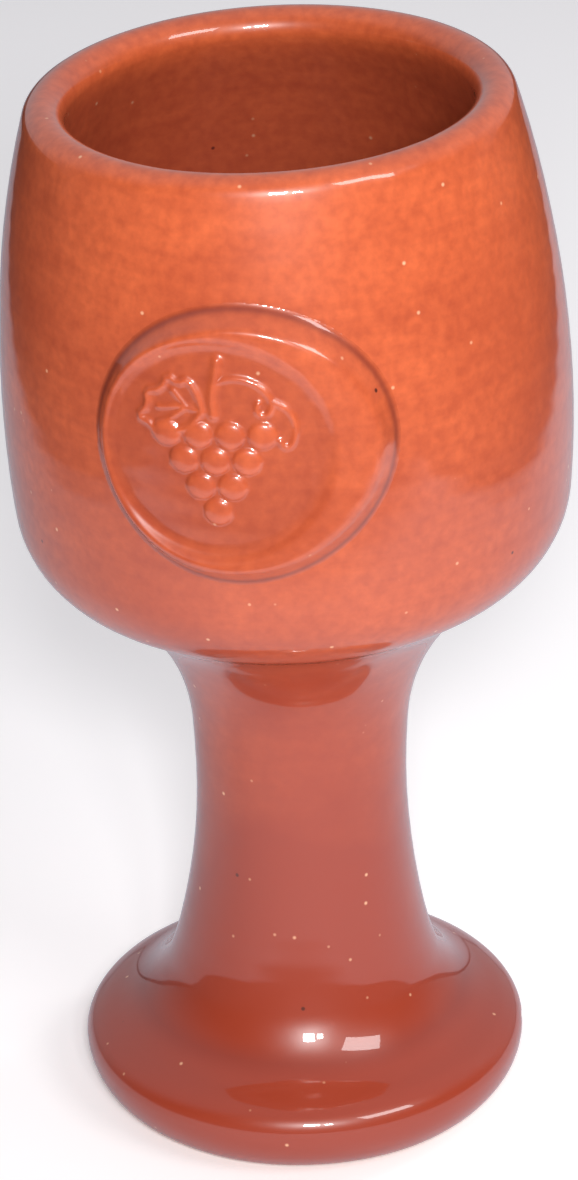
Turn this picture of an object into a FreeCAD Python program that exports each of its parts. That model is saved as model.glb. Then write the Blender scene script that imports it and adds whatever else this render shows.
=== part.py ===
"""A hand-thrown pottery communion chalice, built the way a potter builds one.

A thrown bowl, a hollow thrown stem and a domed foot are stuck together with joining slip. A coil of
soft clay is worked round the neck, a round stamped seal is stuck on the bowl, and two coats of glaze
cover it all but the foot ring. Millimetres, +Z up. The origin is the middle of the foot ring on the
surface it rests on, and the seal faces -Y. The bowl and all that sits on it lean slightly towards -X.
"""

import FreeCAD
import Part
import math
import os

import Sketcher

START, END, MIDDLE = 1, 2, 3
ORIGIN = (-1, 1)
HEIGHT_AXIS = -2

# Degrees that two curves are first drawn with; the sketch's own constraints settle the real angles.
RIM_TURN = 60.0
FLARE_TURN = 14.0

doc = FreeCAD.newDocument("Chalice")

# ---------------------------------------------------------------------------------------------------------
# Driving dimensions
# ---------------------------------------------------------------------------------------------------------

DIMENSIONS = {
    "glaze_coat": (0.4, "thickness of a fired glaze coat"),
    "slip_coat": (0.4, "thickness of the joining slip between two pieces of clay"),
    # bowl, heights measured up from its own underside
    "bowl_height": (76.8, "underside to lip"),
    "belly_reach": (41.6, "largest outside radius"),
    "belly_height": (29.2, "height of that radius"),
    "side_round": (166.6, "radius of the side's long curve"),
    "shoulder_round": (15.1, "radius that turns the side under"),
    "lip_round": (2.7, "half the wall, rounded over the lip"),
    "floor_thick": (6.0, "clay under the drink"),
    "floor_round": (16.0, "radius between the floor and the side"),
    "bowl_lean": (1.6, "degrees that the bowl leans towards -X"),
    "bowl_shift": (0.9, "how far the bowl sits off the stem's axis"),
    "bowl_rise": (87.8, "height of the bowl's underside"),
    # foot
    "foot_reach": (33.9, "largest radius of the foot"),
    "foot_under_round": (8.0, "round from the foot ring out to that radius"),
    "foot_rim_round": (3.4, "round from that radius onto the top"),
    "foot_dome_round": (24.0, "curve of the foot's domed top"),
    "foot_top": (14.4, "height of the dome where the stem stands"),
    "foot_hole": (16.0, "radius of the hole under the hollow stem"),
    "ring_inside": (21.5, "inside radius of the foot ring"),
    "recess_height": (4.5, "depth of the hollow inside the foot ring"),
    "glaze_line": (1.5, "bare height left at the foot ring"),
    # stem
    "stem_base": (24.1, "radius where the stem meets the foot"),
    "stem_waist": (15.7, "smallest radius"),
    "waist_height": (54.0, "height of that radius"),
    "flare_round": (40.0, "tight curve at the stem's base"),
    "lower_round": (118.0, "long curve below the waist"),
    "upper_round": (150.0, "long curve above the waist"),
    "bore_waist": (10.5, "radius of the hollow above the waist"),
    "bore_base": (16.6, "radius of the hollow at the base"),
    # neck coil
    "coil_foot": (62.0, "height where the coil starts"),
    "coil_round": (30.0, "hollow curve worked into the coil"),
    "coil_top": (88.2, "height where that curve ends"),
    "neck_reach": (15.2, "radius that the stem is pared to under the coil"),
    "neck_top": (91.0, "height that the neck's blanks reach to inside the bowl's own clay"),
    # seal
    "seal_reach": (20.3, "radius of the pad"),
    "seal_thick": (2.2, "how far the pad stands off the wall"),
    "seal_height": (39.7, "height of its middle above the bowl's underside"),
    "seal_turn": (9.0, "degrees round from -Y towards -X"),
    "stamp_reach": (15.4, "radius of the stamped face"),
    "stamp_depth": (0.8, "depth of the stamped face"),
    "stamp_shift": (3.2, "how far the stamp landed to the left of the pad's middle"),
    "berry_reach": (2.05, "radius of one grape in the stamp"),
    "berry_spacing": (4.4, "distance from grape to grape"),
    "berry_rows": (4, "rows in the bunch; each row has one grape fewer"),
    "bunch_top": (2.6, "height of the top row over the stamp's middle"),
    "relief_rise": (0.6, "how far the grapes stand up"),
}


def write_sheet():
    """Put every driving dimension in a sheet, with its alias and what it means."""
    sheet = doc.addObject("Spreadsheet::Sheet", "Dimensions")
    for row, (alias, (value, meaning)) in enumerate(DIMENSIONS.items(), start=1):
        sheet.set(f"A{row}", alias.replace("_", " "))
        sheet.set(f"B{row}", str(value))
        sheet.set(f"C{row}", meaning)
        sheet.setAlias(f"B{row}", alias)
    doc.recompute()
    return sheet


sheet = write_sheet()


def size(alias):
    """A driving dimension as a number."""
    return float(getattr(sheet, alias))


def bound(alias):
    """A driving dimension as an expression."""
    return f"Dimensions.{alias}"


# ---------------------------------------------------------------------------------------------------------
# Helpers
# ---------------------------------------------------------------------------------------------------------


def point(radius, height):
    return FreeCAD.Vector(radius, height, 0)


class Outline:
    """A closed outline in radius and height, drawn edge by edge and spun about the height axis."""

    def __init__(self, name):
        self.body = doc.addObject("PartDesign::Body", name)
        self.sketch = self.body.newObject("Sketcher::SketchObject", name + "_outline")
        plane = next(item for item in self.body.Origin.OriginFeatures if item.Role == "XZ_Plane")
        self.sketch.AttachmentSupport = [(plane, "")]
        self.sketch.MapMode = "FlatFace"
        self.edges = []

    def _add(self, curve, first, last, smooth):
        edge = self.sketch.addGeometry(curve, False)
        if self.edges:
            before = self.edges[-1]
            kind = "Tangent" if smooth else "Coincident"
            self.sketch.addConstraint(Sketcher.Constraint(kind, before[0], before[2], edge, first))
        self.edges.append((edge, first, last))
        return edge

    def line(self, start, end, smooth=False):
        """A straight edge from start to end."""
        return self._add(Part.LineSegment(point(*start), point(*end)), START, END, smooth)

    def arc(self, centre, radius, begin, finish, smooth=False):
        """A round edge from one angle to another, in degrees; it runs clockwise when finish is smaller."""
        circle = Part.Circle(point(*centre), FreeCAD.Vector(0, 0, 1), radius)
        low, high = sorted((math.radians(begin), math.radians(finish)))
        ends = (START, END) if finish > begin else (END, START)
        return self._add(Part.ArcOfCircle(circle, low, high), *ends, smooth)

    def level(self, edge):
        self.sketch.addConstraint(Sketcher.Constraint("Horizontal", edge))

    def upright(self, edge):
        self.sketch.addConstraint(Sketcher.Constraint("Vertical", edge))

    def plumb(self, edge, end, other, other_end):
        """Put one point straight above another."""
        self.sketch.addConstraint(Sketcher.Constraint("Vertical", edge, end, other, other_end))

    def on_axis(self, edge, end):
        self.sketch.addConstraint(Sketcher.Constraint("PointOnObject", edge, end, HEIGHT_AXIS))

    def _bind(self, constraint, formula):
        number = self.sketch.addConstraint(constraint)
        self.sketch.setExpression(f"Constraints[{number}]", formula)

    def radius(self, edge, formula, value):
        self._bind(Sketcher.Constraint("Radius", edge, value), formula)

    def reach(self, edge, end, formula, value):
        """Fix how far a point lies from the axis."""
        self._bind(Sketcher.Constraint("DistanceX", *ORIGIN, edge, end, value), formula)

    def behind(self, edge, end, formula, value):
        """Fix how far a point lies beyond the axis."""
        self._bind(Sketcher.Constraint("DistanceX", edge, end, *ORIGIN, value), formula)

    def height(self, edge, end, formula, value):
        """Fix a point's height."""
        self._bind(Sketcher.Constraint("DistanceY", *ORIGIN, edge, end, value), formula)

    def spin(self):
        """Close the outline and spin it into a solid."""
        first, last = self.edges[0], self.edges[-1]
        self.sketch.addConstraint(Sketcher.Constraint("Coincident", last[0], last[2], first[0], first[1]))
        turn = self.body.newObject("PartDesign::Revolution", self.body.Name + "_spin")
        turn.Profile = self.sketch
        turn.ReferenceAxis = (self.sketch, ["V_Axis"])
        turn.Angle = 360.0
        self.sketch.Visibility = False
        return self.body


def combine(kind, name, *shapes):
    """A Part boolean: Cut takes a base and a tool, MultiFuse and MultiCommon take any number."""
    result = doc.addObject(f"Part::{kind}", name)
    if kind == "Cut":
        result.Base, result.Tool = shapes
    else:
        result.Shapes = list(shapes)
    return result


def grown(name, source, formula):
    """The same solid with every face moved outwards."""
    shell = doc.addObject("Part::Offset", name)
    shell.Source = source
    shell.Join = 2
    shell.setExpression("Value", formula)
    return shell


def cylinder(name, radius, height, placement=None):
    rod = doc.addObject("Part::Cylinder", name)
    rod.setExpression("Radius", radius)
    rod.setExpression("Height", height)
    if placement is not None:
        rod.Placement = placement
    return rod


def bowl_place():
    """Where the bowl stands: on the stem, leaning a little towards -X."""
    lean = FreeCAD.Rotation(FreeCAD.Vector(0, 1, 0), -size("bowl_lean"))
    return FreeCAD.Placement(FreeCAD.Vector(size("bowl_shift"), 0, size("bowl_rise")), lean)


# ---------------------------------------------------------------------------------------------------------
# Bowl
# ---------------------------------------------------------------------------------------------------------


def ball_inside(big_centre, big_radius, radius, height):
    """Radius-wise place of a round of this size that touches the big curve from inside at this height."""
    return big_centre[0] + math.sqrt((big_radius - radius) ** 2 - (height - big_centre[1]) ** 2)


def angle_from(centre, place):
    return math.degrees(math.atan2(place[1] - centre[1], place[0] - centre[0]))


class BowlCurves:
    """Centres and angles that every outline of the bowl shares."""

    def __init__(self):
        self.side = (size("belly_reach") - size("side_round"), size("belly_height"))
        round_under = size("shoulder_round")
        self.shoulder = (ball_inside(self.side, size("side_round"), round_under, round_under), round_under)
        lip_height = size("bowl_height") - size("lip_round")
        self.lip = (ball_inside(self.side, size("side_round"), size("lip_round"), lip_height), lip_height)
        self.inner_side = size("side_round") - 2 * size("lip_round")
        floor_height = size("floor_thick") + size("floor_round")
        self.floor = (
            ball_inside(self.side, self.inner_side, size("floor_round"), floor_height),
            floor_height,
        )
        self.low_angle = angle_from(self.side, self.shoulder)
        self.high_angle = angle_from(self.side, self.lip)
        self.floor_angle = angle_from(self.side, self.floor)


curves = BowlCurves()
SIDE_CENTRE_BEHIND = f"{bound('side_round')} - {bound('belly_reach')}"
LIP_CENTRE_HEIGHT = f"{bound('bowl_height')} - {bound('lip_round')}"
LIP_CENTRE_REACH = (
    f"{bound('belly_reach')} - {bound('side_round')}"
    f" + sqrt(({bound('side_round')} - {bound('lip_round')})^2"
    f" - ({LIP_CENTRE_HEIGHT} - {bound('belly_height')})^2)"
)
INNER_SIDE_ROUND = f"{bound('side_round')} - 2 * {bound('lip_round')}"
FLOOR_CENTRE_HEIGHT = f"{bound('floor_thick')} + {bound('floor_round')}"


def fix_side(outline, edge, formula, value):
    """Hold a long side curve by its centre and radius."""
    outline.behind(edge, MIDDLE, SIDE_CENTRE_BEHIND, -curves.side[0])
    outline.height(edge, MIDDLE, bound("belly_height"), curves.side[1])
    outline.radius(edge, formula, value)


def outside_of_bowl(outline):
    """Underside, shoulder, side and lip, up to the angle where the lip's curve ends."""
    under = outline.line((0, 0), (curves.shoulder[0], 0))
    shoulder = outline.arc(curves.shoulder, size("shoulder_round"), -90, curves.low_angle, smooth=True)
    side = outline.arc(curves.side, size("side_round"), curves.low_angle, curves.high_angle, smooth=True)
    outline.on_axis(under, START)
    outline.level(under)
    outline.radius(shoulder, bound("shoulder_round"), size("shoulder_round"))
    outline.height(shoulder, MIDDLE, bound("shoulder_round"), curves.shoulder[1])
    fix_side(outline, side, bound("side_round"), size("side_round"))


def fix_lip(outline, lip, formula, value):
    outline.radius(lip, formula, value)
    outline.height(lip, MIDDLE, LIP_CENTRE_HEIGHT, curves.lip[1])


def solid_bowl():
    """The bowl as if it weren't hollow, for cutting and growing."""
    outline = Outline("bowl_blank")
    outside_of_bowl(outline)
    lip = outline.arc(curves.lip, size("lip_round"), curves.high_angle, 90, smooth=True)
    fix_lip(outline, lip, bound("lip_round"), size("lip_round"))
    top = outline.line((curves.lip[0], size("bowl_height")), (0, size("bowl_height")), smooth=True)
    outline.level(top)
    outline.on_axis(top, END)
    outline.line((0, size("bowl_height")), (0, 0))
    body = outline.spin()
    body.Placement = bowl_place()
    return body


def thrown_bowl():
    """The bowl itself: an even wall, a rounded lip and a thick floor."""
    outline = Outline("bowl")
    outside_of_bowl(outline)
    inside_angle = curves.high_angle + 180
    lip = outline.arc(curves.lip, size("lip_round"), curves.high_angle, inside_angle, smooth=True)
    fix_lip(outline, lip, bound("lip_round"), size("lip_round"))
    side = outline.arc(curves.side, curves.inner_side, curves.high_angle, curves.floor_angle, smooth=True)
    outline.behind(side, MIDDLE, SIDE_CENTRE_BEHIND, -curves.side[0])
    outline.height(side, MIDDLE, bound("belly_height"), curves.side[1])
    corner = outline.arc(curves.floor, size("floor_round"), curves.floor_angle, -90, smooth=True)
    outline.radius(corner, bound("floor_round"), size("floor_round"))
    floor = outline.line((curves.floor[0], size("floor_thick")), (0, size("floor_thick")), smooth=True)
    outline.level(floor)
    outline.on_axis(floor, END)
    outline.height(floor, END, bound("floor_thick"), size("floor_thick"))
    outline.line((0, size("floor_thick")), (0, 0))
    body = outline.spin()
    body.Placement = bowl_place()
    return body


def liner_coat():
    """The glaze poured inside the bowl, from the floor to the crest of the lip."""
    coat = size("glaze_coat")
    height = size("bowl_height")
    floor_level = size("floor_thick")
    inside_angle = curves.high_angle + 180
    outline = Outline("liner_glaze")
    low_floor = outline.line((0, floor_level), (curves.floor[0], floor_level))
    outline.on_axis(low_floor, START)
    outline.level(low_floor)
    low_corner = outline.arc(curves.floor, size("floor_round"), -90, curves.floor_angle, smooth=True)
    outline.radius(low_corner, bound("floor_round"), size("floor_round"))
    outline.height(low_corner, MIDDLE, FLOOR_CENTRE_HEIGHT, curves.floor[1])
    low_side = outline.arc(
        curves.side, curves.inner_side, curves.floor_angle, curves.high_angle, smooth=True
    )
    fix_side(outline, low_side, INNER_SIDE_ROUND, curves.inner_side)
    low_lip = outline.arc(curves.lip, size("lip_round"), inside_angle, 90, smooth=True)
    fix_lip(outline, low_lip, bound("lip_round"), size("lip_round"))
    crest = outline.line((curves.lip[0], height), (curves.lip[0], height + coat))
    outline.upright(crest)
    outline.plumb(crest, START, low_lip, MIDDLE)
    top_lip = outline.arc(curves.lip, size("lip_round") + coat, 90, inside_angle)
    fix_lip(outline, top_lip, f"{bound('lip_round')} + {bound('glaze_coat')}", size("lip_round") + coat)
    top_side = outline.arc(
        curves.side, curves.inner_side - coat, curves.high_angle, curves.floor_angle, smooth=True
    )
    fix_side(outline, top_side, f"{INNER_SIDE_ROUND} - {bound('glaze_coat')}", curves.inner_side - coat)
    top_corner = outline.arc(
        curves.floor, size("floor_round") - coat, curves.floor_angle, -90, smooth=True
    )
    outline.radius(
        top_corner, f"{bound('floor_round')} - {bound('glaze_coat')}", size("floor_round") - coat
    )
    outline.height(top_corner, MIDDLE, FLOOR_CENTRE_HEIGHT, curves.floor[1])
    top_floor = outline.line((curves.floor[0], floor_level + coat), (0, floor_level + coat), smooth=True)
    outline.level(top_floor)
    outline.on_axis(top_floor, END)
    outline.line((0, floor_level + coat), (0, floor_level))
    body = outline.spin()
    body.Placement = bowl_place()
    return body


# ---------------------------------------------------------------------------------------------------------
# Foot and stem
# ---------------------------------------------------------------------------------------------------------


def solid_foot():
    """The foot as a plain disc with a rounded edge and a domed top."""
    reach = size("foot_reach")
    under = size("foot_under_round")
    rim = size("foot_rim_round")
    dome = size("foot_dome_round")
    rim_centre = (reach - rim, under)
    bend = math.radians(RIM_TURN)
    dome_centre = (
        rim_centre[0] - (dome - rim) * math.cos(bend),
        rim_centre[1] - (dome - rim) * math.sin(bend),
    )
    seat = (size("stem_base"), size("foot_top"))
    outline = Outline("foot_blank")
    ground = outline.line((0, 0), (reach - under, 0))
    outline.on_axis(ground, START)
    outline.level(ground)
    lower = outline.arc((reach - under, under), under, -90, 0, smooth=True)
    outline.radius(lower, bound("foot_under_round"), under)
    outline.height(lower, MIDDLE, bound("foot_under_round"), under)
    outline.height(lower, END, bound("foot_under_round"), under)
    outline.reach(lower, END, bound("foot_reach"), reach)
    upper = outline.arc(rim_centre, rim, 0, RIM_TURN, smooth=True)
    outline.radius(upper, bound("foot_rim_round"), rim)
    top = outline.arc(dome_centre, dome, RIM_TURN, angle_from(dome_centre, seat), smooth=True)
    outline.radius(top, bound("foot_dome_round"), dome)
    outline.reach(top, END, bound("stem_base"), seat[0])
    outline.height(top, END, bound("foot_top"), seat[1])
    ledge = outline.line(seat, (0, seat[1]))
    outline.level(ledge)
    outline.on_axis(ledge, END)
    outline.line((0, seat[1]), (0, 0))
    return outline.spin()


def foot_with_hollow(blank):
    """The foot, open under the stem and hollowed inside its ring."""
    hole = cylinder("foot_hole", bound("foot_hole"), bound("foot_top"))
    recess = doc.addObject("Part::Cone", "foot_recess")
    recess.setExpression("Radius1", bound("ring_inside"))
    recess.setExpression("Radius2", bound("foot_hole"))
    recess.setExpression("Height", bound("recess_height"))
    hollow = combine("MultiFuse", "foot_hollow", hole, recess)
    return combine("Cut", "foot", blank, hollow)


STEM_FLOOR = f"{bound('foot_top')} + {bound('slip_coat')}"


def solid_stem():
    """The stem as if it weren't hollow, tall enough to reach into the bowl."""
    floor = size("foot_top") + size("slip_coat")
    waist = (size("stem_waist"), size("waist_height"))
    lower = size("lower_round")
    flare = size("flare_round")
    upper = size("upper_round")
    lower_centre = (waist[0] + lower, waist[1])
    turn = math.radians(FLARE_TURN)
    flare_centre = (
        lower_centre[0] - (lower - flare) * math.cos(turn),
        lower_centre[1] - (lower - flare) * math.sin(turn),
    )
    base = (size("stem_base"), floor)
    coil_foot = size("coil_foot")
    seat_angle = math.degrees(math.asin((coil_foot - waist[1]) / upper))
    seat_reach = waist[0] + upper * (1 - math.cos(math.radians(seat_angle)))
    neck_reach = size("neck_reach")
    top = size("neck_top")
    outline = Outline("stem_blank")
    bottom = outline.line((0, floor), base)
    outline.on_axis(bottom, START)
    outline.level(bottom)
    outline.reach(bottom, END, bound("stem_base"), base[0])
    outline.height(bottom, END, STEM_FLOOR, floor)
    low_turn = math.degrees(math.asin((flare_centre[1] - floor) / flare))
    spread = outline.arc(flare_centre, flare, 180 + low_turn, 180 + FLARE_TURN)
    outline.radius(spread, bound("flare_round"), flare)
    below = outline.arc(lower_centre, lower, 180 + FLARE_TURN, 180, smooth=True)
    outline.radius(below, bound("lower_round"), lower)
    outline.height(below, MIDDLE, bound("waist_height"), waist[1])
    outline.height(below, START, bound("waist_height"), waist[1])
    outline.reach(below, START, bound("stem_waist"), waist[0])
    above = outline.arc((waist[0] + upper, waist[1]), upper, 180, 180 - seat_angle, smooth=True)
    outline.radius(above, bound("upper_round"), upper)
    outline.height(above, START, bound("coil_foot"), coil_foot)
    ledge = outline.line((seat_reach, coil_foot), (neck_reach, coil_foot))
    outline.level(ledge)
    neck = outline.line((neck_reach, coil_foot), (neck_reach, top))
    outline.upright(neck)
    outline.reach(neck, END, bound("neck_reach"), neck_reach)
    outline.height(neck, END, bound("neck_top"), top)
    lid = outline.line((neck_reach, top), (0, top))
    outline.level(lid)
    outline.on_axis(lid, END)
    outline.line((0, top), (0, floor))
    return outline.spin()


def stem_bore():
    """The hollow up the middle of the thrown stem: straight above the waist, flared below it."""
    floor = size("foot_top")
    waist_height = size("waist_height")
    inner = size("bore_waist")
    wide = size("bore_base")
    drop = waist_height - floor
    flare = ((wide - inner) ** 2 + drop ** 2) / (2 * (wide - inner))
    top = size("neck_top")
    outline = Outline("stem_bore")
    bottom = outline.line((0, floor), (wide, floor))
    outline.on_axis(bottom, START)
    outline.level(bottom)
    outline.height(bottom, END, bound("foot_top"), floor)
    outline.reach(bottom, END, bound("bore_base"), wide)
    centre = (inner + flare, waist_height)
    low_angle = angle_from(centre, (wide, floor)) + 360
    spread = outline.arc(centre, flare, low_angle, 180)
    outline.height(spread, START, bound("waist_height"), waist_height)
    outline.reach(spread, START, bound("bore_waist"), inner)
    wall = outline.line((inner, waist_height), (inner, top), smooth=True)
    outline.upright(wall)
    outline.height(wall, END, bound("neck_top"), top)
    lid = outline.line((inner, top), (0, top))
    outline.level(lid)
    outline.on_axis(lid, END)
    outline.line((0, top), (0, floor))
    return outline.spin()


COIL_CLIMB = f"({bound('coil_foot')} - {bound('waist_height')})"
STEM_REACH_UNDER_COIL = (
    f"{bound('stem_waist')} + {bound('upper_round')} - sqrt({bound('upper_round')}^2 - {COIL_CLIMB}^2)"
)


def solid_coil():
    """The coil of soft clay that fills the corner between the stem and the bowl's underside."""
    foot = size("coil_foot")
    climb = foot - size("waist_height")
    upper = size("upper_round")
    reach = size("stem_waist") + upper - math.sqrt(upper ** 2 - climb ** 2)
    curve = size("coil_round")
    finish = 180 - math.degrees(math.asin((size("coil_top") - foot) / curve))
    rim = reach + curve + curve * math.cos(math.radians(finish))
    top = size("neck_top")
    outline = Outline("coil_blank")
    bottom = outline.line((0, foot), (reach, foot))
    outline.on_axis(bottom, START)
    outline.level(bottom)
    outline.height(bottom, END, bound("coil_foot"), foot)
    outline.reach(bottom, END, STEM_REACH_UNDER_COIL, reach)
    hollow = outline.arc((reach + curve, foot), curve, 180, finish)
    outline.radius(hollow, bound("coil_round"), curve)
    outline.height(hollow, MIDDLE, bound("coil_foot"), foot)
    outline.height(hollow, START, bound("coil_top"), size("coil_top"))
    side = outline.line((rim, size("coil_top")), (rim, top))
    outline.upright(side)
    outline.height(side, END, bound("neck_top"), top)
    lid = outline.line((rim, top), (0, top))
    outline.level(lid)
    outline.on_axis(lid, END)
    outline.line((0, top), (0, foot))
    return outline.spin()


def foot_joint():
    """The ring of joining slip between the foot and the stem."""
    body = doc.addObject("PartDesign::Body", "foot_slip")
    sketch = body.newObject("Sketcher::SketchObject", "foot_slip_ring")
    plane = next(item for item in body.Origin.OriginFeatures if item.Role == "XY_Plane")
    sketch.AttachmentSupport = [(plane, "")]
    sketch.MapMode = "FlatFace"
    sketch.setExpression("AttachmentOffset.Base.z", bound("foot_top"))
    for alias in ("stem_base", "bore_base"):
        circle = sketch.addGeometry(
            Part.Circle(FreeCAD.Vector(0, 0, 0), FreeCAD.Vector(0, 0, 1), size(alias)), False
        )
        sketch.addConstraint(Sketcher.Constraint("Coincident", circle, MIDDLE, *ORIGIN))
        number = sketch.addConstraint(Sketcher.Constraint("Radius", circle, size(alias)))
        sketch.setExpression(f"Constraints[{number}]", bound(alias))
    layer = body.newObject("PartDesign::Pad", "foot_slip_layer")
    layer.Profile = sketch
    layer.setExpression("Length", bound("slip_coat"))
    return body


# ---------------------------------------------------------------------------------------------------------
# Seal
# ---------------------------------------------------------------------------------------------------------


STAMP_LEVEL = f"{bound('seal_thick')} - {bound('stamp_depth')}"


def seal_place(across=0.0, rise=0.0):
    """A frame on the bowl's axis, its own +Z pointing out through the seal."""
    outwards = FreeCAD.Rotation(FreeCAD.Vector(0, 0, 1), -size("seal_turn")) * FreeCAD.Rotation(
        FreeCAD.Vector(1, 0, 0), 90
    )
    middle = outwards.multVec(FreeCAD.Vector(across, rise, 0)) + FreeCAD.Vector(0, 0, size("seal_height"))
    return bowl_place().multiply(FreeCAD.Placement(middle, outwards))


def seal_plug(name, radius, across=0.0, rise=0.0):
    """A round plug that reaches from the bowl's axis out past the seal."""
    return cylinder(name, radius, f"2 * {bound('belly_reach')}", seal_place(across, rise))


def relief(name, rise, widen="0"):
    """A plain bunch of grapes, standing to this height over the bowl's wall."""
    top = grown(f"{name}_top", doc.getObject("bowl_blank"), rise)
    shift = -size("stamp_shift")
    pieces = []
    spacing = size("berry_spacing")
    rows = int(size("berry_rows"))
    for row in range(rows):
        berries = rows - row
        for number in range(berries):
            across = (number - (berries - 1) / 2) * spacing
            rise_of_row = size("bunch_top") - row * spacing * math.sin(math.radians(60))
            berry = f"{name}_berry_{row}_{number}"
            pieces.append(
                seal_plug(berry, f"{bound('berry_reach')} + {widen}", shift + across, rise_of_row)
            )
    drawing = combine("MultiFuse", f"{name}_drawing", *pieces)
    return combine("MultiCommon", name, drawing, top)


def seal_skin_over_pad():
    """The glaze's own outer surface over the pad, sunk over the stamped face."""
    blank = doc.getObject("bowl_blank")
    coat = bound("glaze_coat")
    face = grown("seal_glaze_skin", blank, f"{bound('seal_thick')} + {coat}")
    plug = seal_plug("seal_glaze_plug", f"{bound('seal_reach')} + {coat}")
    disc = combine("MultiCommon", "seal_glaze_disc", plug, face)
    floor = grown("stamp_glaze_skin", blank, f"{STAMP_LEVEL} + {coat}")
    stamp_plug = seal_plug("stamp_glaze_plug", f"{bound('stamp_reach')} - {coat}", -size("stamp_shift"))
    stamp = combine("Cut", "stamp_glaze", stamp_plug, floor)
    sunk = combine("Cut", "seal_glaze_sunk", disc, stamp)
    raised = relief("glaze_relief", f"{STAMP_LEVEL} + {bound('relief_rise')} + {coat}", coat)
    return outward_half("seal_glaze", combine("MultiFuse", "seal_glaze_raised", sunk, raised))


def stamped_seal(slip_skin):
    """The pad's whole plug, and the pad itself with its stamped face sunk inside a plain border."""
    blank = doc.getObject("bowl_blank")
    face = grown("seal_skin", blank, bound("seal_thick"))
    stamp_floor = grown("stamp_skin", blank, STAMP_LEVEL)
    disc = combine("MultiCommon", "seal_disc", seal_plug("seal_plug", bound("seal_reach")), face)
    stamp = combine(
        "Cut", "stamp", seal_plug("stamp_plug", bound("stamp_reach"), -size("stamp_shift")), stamp_floor
    )
    pressed = combine("Cut", "seal_pressed", disc, stamp)
    raised = relief("stamp_relief", f"{STAMP_LEVEL} + {bound('relief_rise')}")
    whole = combine("MultiFuse", "seal_raised", pressed, raised)
    return whole, combine("Cut", "seal_half", whole, slip_skin)


# ---------------------------------------------------------------------------------------------------------
# The whole chalice
# ---------------------------------------------------------------------------------------------------------


def outward_half(name, source):
    """Keep only the side of a plugged shape that faces out through the seal."""
    box = doc.addObject("Part::Box", name + "_front")
    for side in ("Length", "Width", "Height"):
        box.setExpression(side, f"2 * {bound('belly_reach')}")
    corner = FreeCAD.Placement(
        FreeCAD.Vector(-size("belly_reach"), -size("belly_reach"), size("belly_reach") / 2),
        FreeCAD.Rotation(),
    )
    box.Placement = seal_place().multiply(corner)
    return combine("MultiCommon", name, source, box)


def outer_coat(clay, seal_whole):
    """The dipped glaze over bowl, seal, coil, stem and foot, down to the bare foot ring."""
    skins = [grown(item.Name + "_skin", item, bound("glaze_coat")) for item in clay]
    seal_face = seal_skin_over_pad()
    wet = combine("MultiFuse", "glaze_wet", *skins, seal_face)
    under_lip = FreeCAD.Placement(
        FreeCAD.Vector(0, 0, size("bowl_height") - size("lip_round") / 2), FreeCAD.Rotation()
    )
    mouth = cylinder(
        "mouth",
        LIP_CENTRE_REACH,
        f"2 * {bound('belly_height')}",
        bowl_place().multiply(under_lip),
    )
    ground = cylinder(
        "ground",
        f"2 * {bound('foot_reach')}",
        f"2 * {bound('glaze_line')}",
        FreeCAD.Placement(FreeCAD.Vector(0, 0, -size("glaze_line")), FreeCAD.Rotation()),
    )
    joint = cylinder(
        "joint_filling",
        bound("stem_base"),
        bound("slip_coat"),
        FreeCAD.Placement(FreeCAD.Vector(0, 0, size("foot_top")), FreeCAD.Rotation()),
    )
    seal_clay = outward_half("seal_clay", seal_whole)
    filling = combine("MultiFuse", "glaze_filling", *clay, seal_clay, joint, mouth, ground)
    return combine("Cut", "outer_glaze", wet, filling)


def build():
    """Make every piece, and return the ones to keep by name."""
    bowl = thrown_bowl()
    bowl_blank = solid_bowl()
    foot_blank = solid_foot()
    stem_blank = solid_stem()
    bore = stem_bore()
    coil_blank = solid_coil()
    doc.recompute()

    joint_skin = grown("joint_skin", bowl_blank, bound("slip_coat"))
    stem_tube = combine("Cut", "stem_tube", stem_blank, bore)
    stem = combine("Cut", "stem", stem_tube, joint_skin)
    joint = combine("MultiCommon", "bowl_joint", stem_tube, joint_skin)
    bowl_slip = combine("Cut", "bowl_slip", joint, bowl_blank)
    coil_ring = combine("Cut", "coil_ring", coil_blank, stem_blank)
    neck_coil = combine("Cut", "neck_coil", coil_ring, bowl_blank)

    seal_whole, seal_half = stamped_seal(joint_skin)
    seal_pad = outward_half("seal_pad", seal_half)
    slip_disc = combine("MultiCommon", "slip_disc", doc.getObject("seal_plug"), joint_skin)
    seal_slip = outward_half("seal_slip", combine("Cut", "slip_ring", slip_disc, bowl_blank))

    outer_glaze = outer_coat([bowl_blank, foot_blank, stem_blank, coil_blank], seal_whole)

    return {
        "bowl": bowl,
        "stem": stem,
        "foot": foot_with_hollow(foot_blank),
        "neck_coil": neck_coil,
        "bowl_slip": bowl_slip,
        "foot_slip": foot_joint(),
        "seal_pad": seal_pad,
        "seal_slip": seal_slip,
        "liner_glaze": liner_coat(),
        "outer_glaze": outer_glaze,
    }


def check(nodes):
    """Stop if any object failed, or any piece isn't a sound solid."""
    broken = [item.Name for item in doc.Objects if {"Invalid", "Error"} & set(item.State)]
    if broken:
        raise RuntimeError("failed: " + ", ".join(broken))
    for name, item in nodes.items():
        shape = item.Shape
        if shape.isNull() or not shape.isValid() or not shape.Solids:
            raise RuntimeError(f"{name} isn't a sound solid")
        print(f"{name}: {len(shape.Solids)} solid(s), {shape.Volume / 1000:.2f} cm3, {shape.BoundBox}")


def main():
    nodes = build()
    doc.recompute()
    check(nodes)
    os.makedirs("parts", exist_ok=True)
    for name, item in nodes.items():
        item.Label = name
        item.Shape.exportStep(f"parts/{name}.step")


main()
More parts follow.
